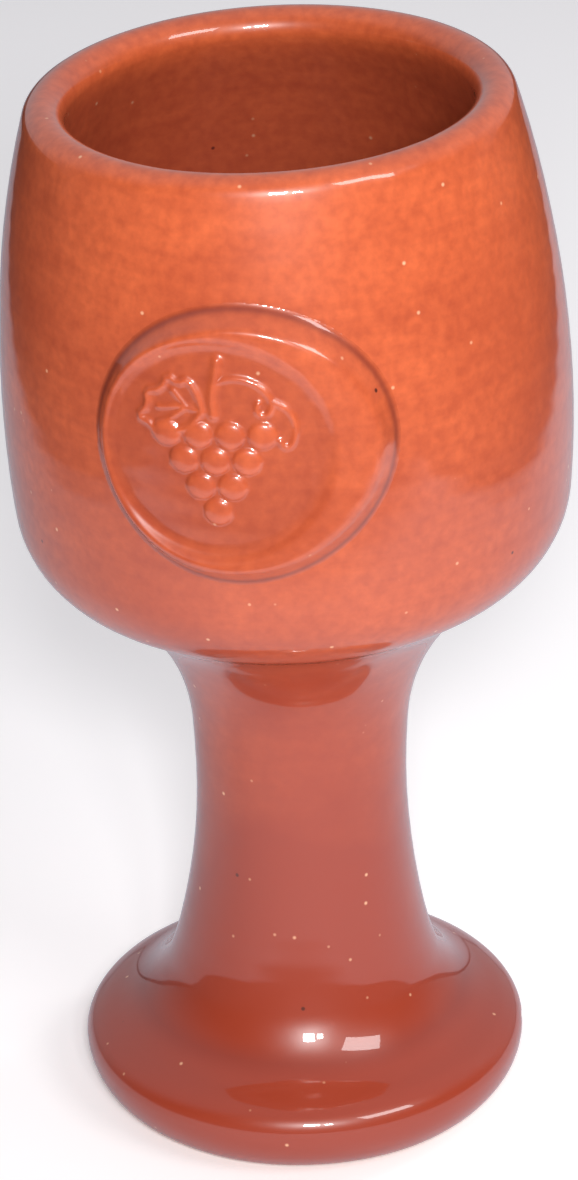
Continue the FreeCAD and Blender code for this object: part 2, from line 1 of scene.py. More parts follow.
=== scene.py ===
"""A hand-thrown earthenware communion chalice, dipped in clear amber glaze.

Everything is in metres and stands on the table at the origin, with the stamped seal towards -Y. Each piece
is drawn on one straight axis, and then settled: the bowl leans and bends a little, the mouth isn't quite
round, and the walls keep the marks of the fingers that threw them.
"""

import math

import bmesh
import bpy
from bpy.props import FloatProperty, FloatVectorProperty, IntProperty, PointerProperty
from mathutils import Matrix, Vector, noise


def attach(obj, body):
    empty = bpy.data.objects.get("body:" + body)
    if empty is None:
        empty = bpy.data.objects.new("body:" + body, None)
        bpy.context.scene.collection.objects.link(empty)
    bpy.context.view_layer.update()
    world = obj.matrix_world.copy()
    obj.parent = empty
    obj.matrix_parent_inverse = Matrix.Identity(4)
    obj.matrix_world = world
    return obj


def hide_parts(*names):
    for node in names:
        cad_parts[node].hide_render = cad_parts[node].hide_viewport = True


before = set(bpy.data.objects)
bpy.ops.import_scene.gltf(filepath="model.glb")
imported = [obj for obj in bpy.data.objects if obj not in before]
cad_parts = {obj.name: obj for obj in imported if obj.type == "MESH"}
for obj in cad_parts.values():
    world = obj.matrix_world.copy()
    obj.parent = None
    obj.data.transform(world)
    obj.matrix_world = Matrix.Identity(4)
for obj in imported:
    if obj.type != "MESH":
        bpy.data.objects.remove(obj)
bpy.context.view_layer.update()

bl_info = {
    "name": "Glazed Chalice",
    "version": (1, 0, 0),
    "blender": (4, 5, 0),
    "location": "3D View > Sidebar > Chalice",
    "description": "Models a hand-thrown communion chalice with a stamped seal and an amber glaze",
    "category": "Add Mesh",
}

MM = 0.001
ROUND_STEPS = 160


def length(name, description, default, **limits):
    """A size in millimetres, kept in metres."""
    return FloatProperty(
        name=name, description=description, default=default * MM, unit="LENGTH", precision=5, **limits
    )


def colour(name, description, code):
    """A paint-chart colour, given as a hex code."""
    return FloatVectorProperty(
        name=name, description=description, default=to_linear(code), subtype="COLOR", size=4, min=0, max=1
    )


def to_linear(code):
    """Linear RGBA from an sRGB hex code."""
    channels = [int(code[place:place + 2], 16) / 255 for place in (0, 2, 4)]
    return (*(c / 12.92 if c <= 0.04045 else ((c + 0.055) / 1.055) ** 2.4 for c in channels), 1.0)


# ---------------------------------------------------------------------------------------------------------
# Sizes and colours
# ---------------------------------------------------------------------------------------------------------


class ChaliceBowl(bpy.types.PropertyGroup):
    """The thrown bowl. Heights are measured up from its own underside."""

    rise: length("Rise", "Height of the bowl's underside above the table", 87.8)
    tall: length("Height", "Underside to lip", 76.8)
    belly_reach: length("Belly radius", "Largest outside radius of the clay", 41.6)
    belly_height: length("Belly height", "Height of the largest radius", 29.2)
    side_round: length("Side curve", "Radius of the side's long curve", 166.6)
    shoulder_round: length("Shoulder", "Radius that turns the side under", 15.1)
    lip_round: length("Lip", "Half the wall, rounded over the lip", 2.7)
    floor_thick: length("Floor", "Clay under the drink", 6.0)
    floor_round: length("Floor corner", "Radius between the floor and the side", 16.0)
    over_lip: length("Over the lip", "How far the outside dip runs down inside the mouth", 7.0)


class ChaliceStem(bpy.types.PropertyGroup):
    """The hollow stem, its neck coil and the foot."""

    waist: length("Waist radius", "Smallest radius of the stem", 15.7)
    waist_height: length("Waist height", "Height of the smallest radius", 54.0)
    lower_round: length("Lower curve", "Radius of the long curve below the waist", 118.0)
    upper_round: length("Upper curve", "Radius of the long curve above the waist", 150.0)
    flare_round: length("Flare", "Radius of the flare at the stem's base", 40.0)
    base: length("Base radius", "Radius where the stem meets the foot", 24.1)
    coil_height: length("Coil height", "Height where the neck coil starts", 63.0)
    neck_reach: length("Neck radius", "Radius that the stem is pared to under the coil", 15.2)
    bore: length("Bore", "Radius of the hollow above the waist", 10.5)
    bore_base: length("Bore at the base", "Radius of the hollow at the stem's base", 16.6)
    foot_reach: length("Foot radius", "Largest radius of the foot", 33.9)
    foot_top: length("Foot height", "Height of the foot where the stem stands", 14.4)
    dome_round: length("Foot dome", "Curve of the foot's top", 24.0)
    rim_round: length("Foot rim", "Round from the rim onto the foot's top", 3.4)
    under_round: length("Foot under-edge", "Round from the foot ring out to the rim", 8.0)
    foot_hole: length("Foot hole", "Radius of the hole under the stem", 16.0)
    ring_inside: length("Ring inside", "Inside radius of the bare foot ring", 21.5)
    recess: length("Recess", "Depth of the hollow inside the foot ring", 4.5)
    glaze_line: length("Glaze line", "Bare clay left above the table", 1.5)


class ChaliceCoats(bpy.types.PropertyGroup):
    """The thin coats."""

    glaze: length("Glaze", "Thickness of the fired glaze", 0.4)
    slip: length("Slip", "Thickness of the joining slip", 0.4)


class ChaliceHand(bpy.types.PropertyGroup):
    """What the potter's hand and the kiln left uneven."""

    stem_drift: length("Stem drift", "How far the stem leans towards +X at the neck", 0.9)
    lean: FloatProperty(
        name="Lean", description="How far the bowl leans towards -X at its base",
        default=math.radians(1.5), unit="ROTATION",
    )
    rim_lean: FloatProperty(
        name="Rim lean", description="Extra lean of the mouth",
        default=math.radians(0.3), unit="ROTATION",
    )
    bend: length("Bend", "How far the bowl's side has bent towards -X at the lip", 0.1)
    lumps: length("Lumps", "Height of the broad unevenness of the walls", 0.22)
    lump_span: length("Lump span", "Distance from one broad lump to the next", 26.0)
    ring_depth: length("Throwing rings", "Height of the spiral left by the fingers", 0.016)
    ring_pitch: length("Ring spacing", "Rise of that spiral in one turn", 4.2)


class ChaliceSeal(bpy.types.PropertyGroup):
    """The clay pad stuck on the bowl, and the stamp pressed into it."""

    reach: length("Radius", "Radius of the pad", 20.3)
    thick: length("Thickness", "How far the pad stands off the glazed wall", 2.1)
    edge: length("Edge", "Width of the rounded edge", 2.8)
    fillet: length("Fillet", "Width of the glaze that fills the corner round it", 1.3)
    crown: length("Crown", "Extra rise of the plain border", 0.8)
    height: length("Height", "Height of its middle above the bowl's underside", 39.7)
    turn: FloatProperty(
        name="Turn", description="How far round from -Y towards -X it sits",
        default=math.radians(9.0), unit="ROTATION",
    )
    stamp_reach: length("Stamp radius", "Radius of the stamped face", 15.4)
    stamp_depth: length("Stamp depth", "How deep the stamp sank", 0.7)
    stamp_shift: length("Stamp shift", "How far the stamp landed left of the middle", 3.2)
    berry_reach: length("Grape radius", "Radius of one grape", 2.05)
    berry_rows: IntProperty(name="Grape rows", description="Rows in the bunch", default=4, min=1, max=6)
    grain: length("Mesh spacing", "Distance between the points of its mesh", 0.23)


class ChaliceColours(bpy.types.PropertyGroup):
    """Colours of the fired clay, seen bare and through the glaze."""

    amber: colour("Amber", "Glazed clay where the glaze is thin and bright", "D9663A")
    russet: colour("Russet", "Glazed clay where it fired darker", "9E3A22")
    # umber also paints the shade inside the bowl
    umber: colour("Umber", "Pooled glaze in the hollows", "6A2420")
    peach: colour("Peach", "Pale grog under the glaze", "F0B48C")
    iron: colour("Iron", "Dark specks", "5A2418")
    bare: colour("Bare clay", "Unglazed fired clay", "B4724E")
    slip: colour("Slip", "Fired joining slip", "96563C")
    floor: colour("Floor", "The table", "F4F2F2")
    air: colour("Air", "The pale room's own tint", "F4F5FF")
    near: colour("Near", "The table as the glaze mirrors it", "D8D4DC")
    room: colour("Room", "The dim room beyond the table", "241614")


class ChaliceStage(bpy.types.PropertyGroup):
    """The table, the room and the lights."""

    clear_front: FloatProperty(name="Clear in front", description="Pale table in front of the chalice",
                               default=0.17, unit="LENGTH")
    clear_side: FloatProperty(name="Clear beside", description="Pale table beside the chalice",
                              default=0.24, unit="LENGTH")
    room_front: FloatProperty(name="Room in front", description="Brightness of the room behind the viewer",
                              default=0.03)
    room_back: FloatProperty(name="Room behind", description="Brightness overhead and behind the chalice",
                             default=0.45)
    window_place: FloatVectorProperty(name="Window", description="Where the soft window light stands",
                                      default=(0.46, -0.46, 0.62), subtype="TRANSLATION")
    window_power: FloatProperty(name="Window power", description="Watts", default=1.7)
    side_place: FloatVectorProperty(name="Side window", description="Where the tall side window stands",
                                    default=(0.5, 0.22, 0.26), subtype="TRANSLATION")
    side_power: FloatProperty(name="Side window power", description="Watts", default=0.9)
    lamp_place: FloatVectorProperty(name="Lamp", description="Where the small lamp stands",
                                    default=(0.02, -0.66, 0.47), subtype="TRANSLATION")
    lamp_power: FloatProperty(name="Lamp power", description="Watts", default=4.1)
    second_place: FloatVectorProperty(name="Second lamp", description="Where the second lamp stands",
                                      default=(0.12, -0.66, 0.46), subtype="TRANSLATION")
    second_power: FloatProperty(name="Second lamp power", description="Watts", default=0.8)
    table_glow: FloatProperty(name="Table glow", description="Light that the table gives off", default=0.3)


PROPERTY_GROUPS = {
    "chalice_stage": ChaliceStage,
    "chalice_bowl": ChaliceBowl,
    "chalice_stem": ChaliceStem,
    "chalice_coats": ChaliceCoats,
    "chalice_hand": ChaliceHand,
    "chalice_seal": ChaliceSeal,
    "chalice_colours": ChaliceColours,
}


def settings(name):
    return getattr(bpy.context.scene, "chalice_" + name)


# ---------------------------------------------------------------------------------------------------------
# Outlines: lists of points at a radius (x) and a height (z), before the piece settles
# ---------------------------------------------------------------------------------------------------------


def at(radius, height):
    return Vector((radius, 0, height))


def arc(centre, radius, begin, finish, spacing=1.1 * MM):
    """Points along a round, between two angles in degrees, about as far apart as asked."""
    sweep = math.radians(finish - begin)
    steps = max(2, math.ceil(abs(sweep) * radius / spacing), math.ceil(abs(sweep) / math.radians(9)))
    angles = [math.radians(begin) + sweep * step / steps for step in range(steps + 1)]
    return [at(centre.x + radius * math.cos(a), centre.z + radius * math.sin(a)) for a in angles]


def touching_inside(big, big_radius, radius, height):
    """Centre of a round at this height that touches the big round from inside."""
    across = math.sqrt((big_radius - radius) ** 2 - (height - big.z) ** 2)
    return at(big.x + across, height)


def shifted(centre, reach, angle):
    """The point at this distance from a centre, at an angle in degrees."""
    turn = math.radians(angle)
    return centre + at(reach * math.cos(turn), reach * math.sin(turn))


def angle_between(centre, place):
    return math.degrees(math.atan2(place.z - centre.z, place.x - centre.x))


def join(*stretches):
    """One outline from several that meet, keeping each shared point once."""
    points = []
    for stretch in stretches:
        for place in stretch:
            if not points or (place - points[-1]).length > 0.01 * MM:
                points.append(place)
    return points


class BowlOutline:
    """The rounds that the bowl's inside and outside are made of."""

    def __init__(self):
        bowl = settings("bowl")
        base = bowl.rise
        self.base = base
        self.side = at(bowl.belly_reach - bowl.side_round, base + bowl.belly_height)
        self.outer_side = bowl.side_round
        self.inner_side = bowl.side_round - 2 * bowl.lip_round
        self.lip_round = bowl.lip_round
        self.lip = touching_inside(
            self.side, self.outer_side, bowl.lip_round, base + bowl.tall - bowl.lip_round
        )
        self.shoulder_round = bowl.shoulder_round
        self.shoulder = touching_inside(
            self.side, self.outer_side, bowl.shoulder_round, base + bowl.shoulder_round
        )
        self.floor_round = bowl.floor_round
        self.floor = touching_inside(
            self.side, self.inner_side, bowl.floor_round, base + bowl.floor_thick + bowl.floor_round
        )
        self.lip_angle = angle_between(self.side, self.lip)
        self.shoulder_angle = angle_between(self.side, self.shoulder)
        self.floor_angle = angle_between(self.side, self.floor)
        drop = bowl.tall - bowl.lip_round - bowl.over_lip - bowl.belly_height
        self.seam_angle = math.degrees(math.asin(drop / self.inner_side))

    def wall_radius(self, height, grow=0.0):
        """Outside radius of the side at a height."""
        return self.side.x + math.sqrt((self.outer_side + grow) ** 2 - (height - self.side.z) ** 2)

    def over_lip(self, grow):
        """From the seam inside the mouth, up over the lip to the outside."""
        rise = arc(self.side, self.inner_side - grow, self.seam_angle, self.lip_angle)
        crest = arc(self.lip, self.lip_round + grow, self.lip_angle + 180, self.lip_angle)
        return join(rise, crest)

    def outside(self, grow, end=-90):
        """Down the side and round the shoulder, to the flat underside or to an angle before it."""
        side = arc(self.side, self.outer_side + grow, self.lip_angle, self.shoulder_angle)
        shoulder = arc(self.shoulder, self.shoulder_round + grow, self.shoulder_angle, end)
        return join(side, shoulder)

    def inside(self, grow, top_angle):
        """Down the inside from this angle on the side, to the middle of the floor."""
        side = arc(self.side, self.inner_side - grow, top_angle, self.floor_angle)
        corner = arc(self.floor, self.floor_round - grow, self.floor_angle, -90)
        return join(side, corner, [at(0, self.floor.z - self.floor_round + grow)])


class StemOutline:
    """The rounds that the neck, stem and foot are made of."""

    def __init__(self):
        stem = settings("stem")
        self.size = stem
        self.waist = at(stem.waist, stem.waist_height)
        self.upper = at(stem.waist + stem.upper_round, stem.waist_height)
        self.lower = at(stem.waist + stem.lower_round, stem.waist_height)
        climb = stem.coil_height - stem.waist_height
        self.coil_angle = 180 - math.degrees(math.asin(climb / stem.upper_round))
        self.coil_start = shifted(self.upper, stem.upper_round, self.coil_angle)
        outwards = shifted(at(0, 0), -1, self.coil_angle)
        bowl = BowlOutline()
        gap = self.coil_start - bowl.shoulder
        self.coil_round = (gap.dot(gap) - bowl.shoulder_round ** 2) / (
            2 * (bowl.shoulder_round - gap.dot(outwards))
        )
        self.coil = self.coil_start + self.coil_round * outwards
        self.coil_top = angle_between(self.coil, bowl.shoulder)
        self.meeting = angle_between(bowl.shoulder, self.coil)
        self.seat = at(stem.base, stem.foot_top)
        inset = stem.lower_round - stem.flare_round
        self.flare_angle = self._handover(self.lower, inset, stem.flare_round, 183, 200)
        self.flare = shifted(self.lower, inset, self.flare_angle)
        self.rim = at(stem.foot_reach - stem.rim_round, stem.under_round)
        self.under = at(stem.foot_reach - stem.under_round, stem.under_round)
        inset = stem.rim_round - stem.dome_round
        self.rim_angle = self._handover(self.rim, inset, stem.dome_round, 35, 80)
        self.dome = shifted(self.rim, inset, self.rim_angle)

    def _handover(self, centre, inset, radius, low, high):
        """The angle, between two others, where a round has to take over so that it ends at the seat."""

        def miss(angle):
            return (self.seat - shifted(centre, inset, angle)).length - radius

        for _ in range(50):
            middle = (low + high) / 2
            if (miss(middle) > 0) == (miss(low) > 0):
                low = middle
            else:
                high = middle
        return (low + high) / 2

    def neck(self, grow):
        """Down the hollow curve of the coil, from the bowl's shoulder to the stem."""
        return arc(self.coil, self.coil_round - grow, self.coil_top, self.coil_angle)

    def shaft(self, grow):
        """From the coil down past the waist to the flare's end."""
        stem = self.size
        above = arc(self.upper, stem.upper_round - grow, self.coil_angle, 180)
        below = arc(self.lower, stem.lower_round - grow, 180, self.flare_angle)
        end = angle_between(self.flare, self.seat) % 360
        flare = arc(self.flare, stem.flare_round - grow, self.flare_angle, end)
        return join(above, below, flare)

    def foot(self, grow, low):
        """From the stem out over the dome, round the rim and down to a height near the table."""
        stem = self.size
        start = angle_between(self.dome, self.seat)
        dome = arc(self.dome, stem.dome_round + grow, start, self.rim_angle)
        rim = arc(self.rim, stem.rim_round + grow, self.rim_angle, 0)
        finish = -math.degrees(math.asin(min(1.0, (self.under.z - low) / (stem.under_round + grow))))
        under = arc(self.under, stem.under_round + grow, 0, finish)
        return join(dome, rim, under)


# How far pooled glaze reaches each way from the crease between stem and foot, and the steps of its curve.
CREASE_REACH = 6.5 * MM
CREASE_STEPS = 10


def soften(upper, lower, reach):
    """Join two stretches that meet at an angle with a short hollow curve, as pooled glaze does."""
    corner = (upper[-1] + lower[0]) / 2
    upper = [place for place in upper if (place - corner).length > reach]
    lower = [place for place in lower if (place - corner).length > reach]
    start, finish = upper[-1], lower[0]
    curve = []
    for step in range(1, CREASE_STEPS):
        share = step / CREASE_STEPS
        curve.append(start.lerp(corner, share).lerp(corner.lerp(finish, share), share))
    return upper + curve + lower


def full_outside(grow, low):
    """The whole outside below the lip, from the belly down to a height near the table."""
    bowl = BowlOutline()
    stem = StemOutline()
    body = join(bowl.outside(grow, stem.meeting), stem.neck(grow), stem.shaft(grow))
    return soften(body, stem.foot(grow, low), CREASE_REACH)


# ---------------------------------------------------------------------------------------------------------
# Settling: the same for every piece, so that coats and clay keep their places
# ---------------------------------------------------------------------------------------------------------


def ease(share):
    """From 0 to 1, slow at both ends."""
    share = min(1.0, max(0.0, share))
    return share * share * (3 - 2 * share)


# Radius at which the broad lumps are sampled, and the distance over which the throwing rings come and go.
LUMP_RADIUS = 34 * MM
RING_FADE = 9 * MM
# Radius under which the unevenness dies away towards the axis.
CALM_RADIUS = 12 * MM
# How far under the bowl its lean begins, and the height over which it sets in.
LEAN_BELOW = 12 * MM
LEAN_SPAN = 14 * MM


def unevenness(turn, height):
    """How far a wall stands out from the true round at this place."""
    hand = settings("hand")
    place = Vector((math.cos(turn), math.sin(turn), 0)) * LUMP_RADIUS + Vector((0, 0, height))
    lumps = noise.noise(place / hand.lump_span) * hand.lumps
    strength = 0.55 + 0.45 * noise.noise(place / RING_FADE + Vector((7, 1, 3)))
    spiral = math.sin(2 * math.pi * height / hand.ring_pitch + turn)
    return lumps + hand.ring_depth * strength * spiral


# Turn from +X in degrees, height in the bowl or foot, width and depth in millimetres, of small flaws.
BLEMISHES = (
    (-2.0, 7.6, 0.9, -0.55),
    (-62.0, 162.6, 1.6, 0.35),
    (-55.0, 163.4, 1.2, 0.28),
    (-47.0, 162.8, 1.7, 0.32),
    (-118.0, 162.4, 2.2, 0.22),
    (-143.0, 158.0, 2.6, 0.2),
)


def blemish(turn, radius, height):
    """How far the small flaws near this place stand out or in."""
    total = 0.0
    for middle, level, width, depth in BLEMISHES:
        up = height - level * MM
        if abs(up) > 3 * width * MM:
            continue
        round_gap = (turn - math.radians(middle) + math.pi) % (2 * math.pi) - math.pi
        gap = math.hypot(round_gap * radius, up) / (width * MM)
        total += depth * MM * math.exp(-gap * gap)
    return total


def settled(place):
    """Where a point of the true round shape ends up."""
    hand = settings("hand")
    bowl = settings("bowl")
    radius = math.hypot(place.x, place.y)
    if radius > 1 * MM:
        turn = math.atan2(place.y, place.x)
        moved = unevenness(turn, place.z) * ease(radius / CALM_RADIUS) + blemish(turn, radius, place.z)
        spread = 1 + moved / radius
        place = Vector((place.x * spread, place.y * spread, place.z))
    neck = bowl.rise
    drift = hand.stem_drift * ease(place.z / neck)
    if place.z < neck - LEAN_BELOW:
        return place + Vector((drift, 0, 0))
    climb = place.z - neck
    share = max(0.0, climb / bowl.tall)
    hold = ease((place.z - neck + LEAN_BELOW) / LEAN_SPAN)
    tilt = -(hand.lean + hand.rim_lean * share * share) * hold
    pivot = Vector((0, 0, neck))
    lean = Matrix.Rotation(tilt, 3, "Y")
    bent = -hand.bend * share * (0.25 + 0.75 * share)
    spine = Matrix.Rotation(-hand.lean * hold, 3, "Y") @ Vector((0, 0, climb))
    return pivot + spine + lean @ Vector((place.x, place.y, 0)) + Vector((drift + bent, 0, 0))


# ---------------------------------------------------------------------------------------------------------
# Mesh helpers
# ---------------------------------------------------------------------------------------------------------


def spun(points):
    """A bmesh turned about the axis from a closed outline, or from one with both ends on the axis."""
    bm = bmesh.new()
    verts = [bm.verts.new(place) for place in points]
    edges = [bm.edges.new(pair) for pair in zip(verts, verts[1:])]
    if points[0].x > 0.01 * MM:
        edges.append(bm.edges.new((verts[-1], verts[0])))
    bmesh.ops.spin(
        bm, geom=verts + edges, cent=(0, 0, 0), axis=(0, 0, 1), angle=2 * math.pi,
        steps=ROUND_STEPS, use_merge=True,
    )
    bmesh.ops.remove_doubles(bm, verts=bm.verts, dist=0.004 * MM)
    bmesh.ops.recalc_face_normals(bm, faces=bm.faces)
    return bm


def settle(bm):
    for vert in bm.verts:
        vert.co = settled(vert.co)


def finished(name, bm, material, slot, *nodes, crease=40):
    """Turn a bmesh into a piece that rides on the chalice and stands for its CAD nodes."""
    for face in bm.faces:
        face.smooth = True
    for edge in bm.edges:
        edge.smooth = len(edge.link_faces) != 2 or edge.calc_face_angle(0) < math.radians(crease)
    mesh = bpy.data.meshes.new(name)
    bm.to_mesh(mesh)
    bm.free()
    piece = bpy.data.objects.new(name, mesh)
    bpy.context.scene.collection.objects.link(piece)
    mesh.materials.append(material)
    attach(piece, "root")
    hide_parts(*nodes)
    return piece


# ---------------------------------------------------------------------------------------------------------
# Materials
# ---------------------------------------------------------------------------------------------------------


def add_node(tree, kind, links=(), **values):
    """Add a node, set its properties and sockets by name, and link its inputs."""
    node = tree.nodes.new(kind)
    for name, value in values.items():
        if hasattr(node, name):
            setattr(node, name, value)
        else:
            node.inputs[name.replace("_", " ")].default_value = value
    for socket, source in dict(links).items():
        tree.links.new(source, node.inputs[socket])
    return node


def fresh_material(name):
    """A material with only a shader and an output."""
    material = bpy.data.materials.get(name) or bpy.data.materials.new(name)
    material.use_nodes = True
    tree = material.node_tree
    tree.nodes.clear()
    shader = tree.nodes.new("ShaderNodeBsdfPrincipled")
    output = tree.nodes.new("ShaderNodeOutputMaterial")
    tree.links.new(shader.outputs["BSDF"], output.inputs["Surface"])
    return material, tree, shader


def mix(tree, factor, first, second, blend="MIX"):
    """Mix two colours, each a socket or a value."""
    node = tree.nodes.new("ShaderNodeMix")
    node.data_type = "RGBA"
    node.blend_type = blend
    for socket, source in ((node.inputs[0], factor), (node.inputs[6], first), (node.inputs[7], second)):
        if isinstance(source, bpy.types.NodeSocket):
            tree.links.new(source, socket)
        else:
            socket.default_value = source
    return node.outputs[2]


# Painted shade inside the bowl: how much darker its inside is coloured, from 0 to 1.
INSIDE_PAINTED_SHADE = 0.5


def glazed_earthenware():
    """Red earthenware under a clear amber glaze: wet shine over mottled orange and russet clay."""
    tint = settings("colours")
    material, tree, shader = fresh_material("glazed earthenware")
    place = add_node(tree, "ShaderNodeTexCoord").outputs["Object"]
    # cloudy firing colour, about 30 mm across; the mix is also darker, towards russet, lower down and
    # towards amber higher up
    cloud = add_node(tree, "ShaderNodeTexNoise", {"Vector": place}, Scale=1 / 0.030, Detail=3.0)
    height = add_node(tree, "ShaderNodeSeparateXYZ", {"Vector": place}).outputs["Z"]
    climb = add_node(tree, "ShaderNodeMapRange", {"Value": height}, From_Max=0.165)
    tone = add_node(
        tree, "ShaderNodeMath", {0: cloud.outputs["Fac"], 1: climb.outputs["Result"]}, operation="ADD"
    )
    ramp = add_node(
        tree, "ShaderNodeMapRange", {"Value": tone.outputs["Value"]},
        From_Min=0.75, From_Max=1.45,
    )
    base = mix(tree, ramp.outputs["Result"], tint.russet, tint.amber)
    # fine mottle of the clay body, 1.6 mm
    mottle = add_node(tree, "ShaderNodeTexNoise", {"Vector": place}, Scale=1 / 0.0016, Detail=3.0)
    fine = add_node(
        tree, "ShaderNodeMapRange", {"Value": mottle.outputs["Fac"]},
        From_Min=0.3, From_Max=0.7, To_Max=0.42,
    )
    base = mix(tree, fine.outputs["Result"], base, tint.russet)
    # pale grog: a speck in some of the cells of 3.4 mm
    grog = add_node(tree, "ShaderNodeTexVoronoi", {"Vector": place}, Scale=1 / 0.0034)
    speck = add_node(
        tree, "ShaderNodeMapRange", {"Value": grog.outputs["Distance"]},
        From_Min=0.11, From_Max=0.03,
    )
    pick = add_node(tree, "ShaderNodeMath", {0: grog.outputs["Color"]}, operation="GREATER_THAN")
    pick.inputs[1].default_value = 0.64
    shown = add_node(
        tree, "ShaderNodeMath", {0: speck.outputs["Result"], 1: pick.outputs["Value"]}, operation="MULTIPLY"
    )
    base = mix(tree, shown.outputs["Value"], base, tint.peach)
    # dark iron: a smaller speck in a few of the cells of 6.5 mm
    iron = add_node(tree, "ShaderNodeTexVoronoi", {"Vector": place}, Scale=1 / 0.0065)
    dot = add_node(
        tree, "ShaderNodeMapRange", {"Value": iron.outputs["Distance"]},
        From_Min=0.06, From_Max=0.035,
    )
    rare = add_node(tree, "ShaderNodeMath", {0: iron.outputs["Color"]}, operation="GREATER_THAN")
    rare.inputs[1].default_value = 0.78
    dark = add_node(
        tree, "ShaderNodeMath", {0: dot.outputs["Result"], 1: rare.outputs["Value"]}, operation="MULTIPLY"
    )
    base = mix(tree, dark.outputs["Value"], base, tint.iron)
    # faint bands left by the wheel, stretched round the pot, 2.2 mm apart
    flat = add_node(tree, "ShaderNodeMapping", {"Vector": place})
    flat.inputs["Scale"].default_value = (1 / 0.030, 1 / 0.030, 1 / 0.0022)
    bands = add_node(tree, "ShaderNodeTexNoise", {"Vector": flat.outputs["Vector"]}, Scale=1.0, Detail=3.0)
    streak = add_node(
        tree, "ShaderNodeMapRange", {"Value": bands.outputs["Fac"]},
        From_Min=0.45, From_Max=0.8, To_Max=0.32,
    )
    base = mix(tree, streak.outputs["Result"], base, tint.russet)
    # glaze pools in hollows, and painted shade darkens the inside of the bowl
    pool_and_shade = add_node(tree, "ShaderNodeAttribute", attribute_name="pool_and_shade")
    base = mix(tree, pool_and_shade.outputs["Fac"], base, tint.umber)
    tree.links.new(base, shader.inputs["Base Color"])
    # the glaze's own slow waviness
    wave = add_node(tree, "ShaderNodeTexNoise", {"Vector": place}, Scale=1 / 0.006, Detail=2.0)
    bump = add_node(tree, "ShaderNodeBump", {"Height": wave.outputs["Fac"]}, Strength=0.25, Distance=0.0002)
    tree.links.new(bump.outputs["Normal"], shader.inputs["Normal"])
    shader.inputs["Roughness"].default_value = 0.35
    shader.inputs["IOR"].default_value = 1.5
    shader.inputs["Coat Weight"].default_value = 1.0
    shader.inputs["Coat Roughness"].default_value = 0.03
    shader.inputs["Coat IOR"].default_value = 1.55
    return material


def bare_earthenware():
    """Unglazed fired red clay: dry, pale and grainy, as on a foot ring."""
    tint = settings("colours")
    material, tree, shader = fresh_material("bare earthenware")
    place = add_node(tree, "ShaderNodeTexCoord").outputs["Object"]
    grain = add_node(tree, "ShaderNodeTexNoise", {"Vector": place}, Scale=1 / 0.0008, Detail=4.0)
    base = mix(tree, grain.outputs["Fac"], tint.bare, tint.russet)
    tree.links.new(base, shader.inputs["Base Color"])
    bump = add_node(tree, "ShaderNodeBump", {"Height": grain.outputs["Fac"]}, Strength=0.4, Distance=0.0002)
    tree.links.new(bump.outputs["Normal"], shader.inputs["Normal"])
    shader.inputs["Roughness"].default_value = 0.8
    return material


def fired_slip():
    """Joining slip: finer and darker than the clay it joins, and dry."""
    tint = settings("colours")
    material, tree, shader = fresh_material("fired slip")
    place = add_node(tree, "ShaderNodeTexCoord").outputs["Object"]
    grain = add_node(tree, "ShaderNodeTexNoise", {"Vector": place}, Scale=1 / 0.0005, Detail=2.0)
    base = mix(tree, grain.outputs["Fac"], tint.slip, tint.bare)
    tree.links.new(base, shader.inputs["Base Color"])
    shader.inputs["Roughness"].default_value = 0.85
    return material


# ---------------------------------------------------------------------------------------------------------
# Seal
# ---------------------------------------------------------------------------------------------------------


def ridge(distance, width, height):
    """A soft raised line."""
    return height * math.exp(-((distance / width) ** 2))


def to_stroke(place, start, finish):
    """Distance from a point to a straight stroke."""
    along = finish - start
    share = max(0.0, min(1.0, (place - start).dot(along) / along.dot(along)))
    return (place - start - along * share).length


def stroke_points(points, rounds=0):
    """A stroke in metres; each round cuts every corner, so that the line bends instead of breaking."""
    line = [Vector(point) * MM for point in points]
    for _ in range(rounds):
        cut = [line[0]]
        for start, finish in zip(line, line[1:]):
            cut += [start.lerp(finish, 0.25), start.lerp(finish, 0.75)]
        line = cut + [line[-1]]
    return line


LEAF = stroke_points([
    (-1.4, 6.0), (-1.9, 8.2), (-3.2, 10.6), (-4.6, 9.8), (-6.0, 10.9), (-7.0, 8.8), (-9.2, 8.3),
    (-9.0, 6.3), (-10.6, 4.4), (-8.6, 3.5), (-8.0, 1.9), (-5.9, 2.9), (-3.6, 3.3), (-1.4, 6.0),
], rounds=1)
VEINS = [
    stroke_points([(-1.4, 6.0), (-4.6, 6.6), (-7.6, 6.2)]),
    stroke_points([(-3.6, 6.4), (-5.4, 8.8)]),
    stroke_points([(-3.8, 6.4), (-6.4, 4.4)]),
]
STALK = stroke_points([(0.9, 13.4), (0.5, 10.8), (-0.1, 8.4), (0.1, 5.6)], rounds=2)
TENDRILS = [
    stroke_points([
        (0.4, 10.2), (2.6, 11.0), (5.2, 10.6), (7.4, 9.0), (8.2, 6.8), (7.2, 5.3), (5.9, 6.0), (6.2, 7.3),
    ], rounds=2),
    stroke_points([(8.0, 7.6), (10.2, 6.4), (11.2, 4.0), (10.8, 1.4), (9.6, 0.6), (8.9, 1.8)], rounds=2),
]


def berries():
    """Middles of the grapes, in rows that narrow downwards."""
    seal = settings("seal")
    spacing = 2.15 * seal.berry_reach
    places = []
    for row in range(seal.berry_rows):
        count = seal.berry_rows - row
        for number in range(count):
            across = (number - (count - 1) / 2) * spacing
            places.append(Vector((across, 2.6 * MM - row * spacing * math.sin(math.radians(60)))))
    return places


